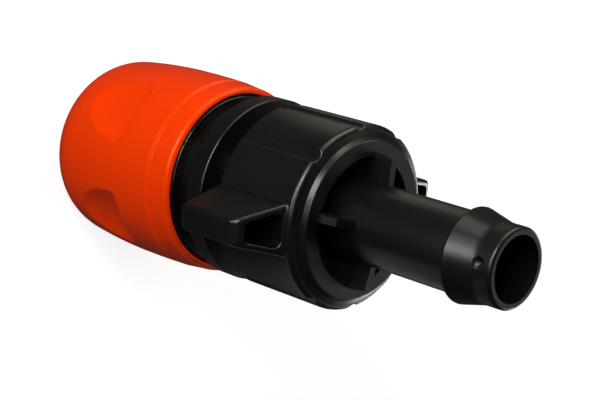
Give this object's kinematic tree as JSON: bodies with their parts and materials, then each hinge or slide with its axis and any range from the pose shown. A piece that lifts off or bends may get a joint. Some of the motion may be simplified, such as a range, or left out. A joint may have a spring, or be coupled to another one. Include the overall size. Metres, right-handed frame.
{
  "type": "garden hose quick connector",
  "caption": "Push-fit hose connector: sprung orange release collar with finger scallops, black socket body, winged swivel nut and barbed hose tail.",
  "frame": {"origin": "on the axis, in the plane of the plug socket's end that the connector stands on", "axes": "+Z up the axis from the plug socket to the hose tail; the nut's wings point along Y; the picture shows the connector lying with -X up"},
  "size_m": [0.0344, 0.0474, 0.0964],
  "materials": {
    "orange_plastic": "satin moulded",
    "black_plastic": "satin moulded",
    "grey_plastic": "moulded",
    "seal_rubber": "matt",
    "spring_steel": "bright drawn wire"
  },
  "bodies": {
    "connector_body": {"connector_body": "black_plastic", "stop_ring": "spring_steel", "seal_bush": "grey_plastic", "plug_seal": "seal_rubber", "return_spring": "spring_steel"},
    "locking_collar": {"locking_collar": "orange_plastic"},
    "locking_claw_1": {"locking_claw_1": "grey_plastic"},
    "locking_claw_2": {"locking_claw_2": "grey_plastic"},
    "locking_claw_3": {"locking_claw_3": "grey_plastic"},
    "locking_claw_4": {"locking_claw_4": "grey_plastic"},
    "hose_tail": {"hose_tail": "black_plastic", "tail_washer": "seal_rubber"},
    "wing_nut": {"wing_nut": "black_plastic"}
  },
  "joints": [
    {"name": "collar_slide", "type": "slide", "parent": "connector_body", "child": "locking_collar", "axis": [0, 0, 1], "range_m": [0, 0.004], "stiffness_N_per_m": 1500, "springref_m": -0.002, "deforming": ["return_spring"]},
    {"name": "claw_1_lift", "type": "slide", "parent": "connector_body", "child": "locking_claw_1", "axis": [-0.7071, -0.7071, 0], "range_m": [0, 0.001]},
    {"name": "claw_2_lift", "type": "slide", "parent": "connector_body", "child": "locking_claw_2", "axis": [0.7071, -0.7071, 0], "range_m": [0, 0.001]},
    {"name": "claw_3_lift", "type": "slide", "parent": "connector_body", "child": "locking_claw_3", "axis": [0.7071, 0.7071, 0], "range_m": [0, 0.001]},
    {"name": "claw_4_lift", "type": "slide", "parent": "connector_body", "child": "locking_claw_4", "axis": [-0.7071, 0.7071, 0], "range_m": [0, 0.001]},
    {"name": "tail_slide", "type": "slide", "parent": "connector_body", "child": "hose_tail", "axis": [0, 0, 1], "range_m": [0, 0.01269]},
    {"name": "nut_turn", "type": "hinge", "parent": "hose_tail", "child": "wing_nut", "pos_m": [0, 0, 0.0554], "axis": [0, 0, 1], "range_deg": [0, 2520]}
  ],
  "couplings": [
    {"joint": "claw_1_lift", "follows": "collar_slide", "ratio": 0.25},
    {"joint": "claw_2_lift", "follows": "collar_slide", "ratio": 0.25},
    {"joint": "claw_3_lift", "follows": "collar_slide", "ratio": 0.25},
    {"joint": "claw_4_lift", "follows": "collar_slide", "ratio": 0.25},
    {"joint": "nut_turn", "follows": "tail_slide", "rad_per_m": 3463.7}
  ]
}
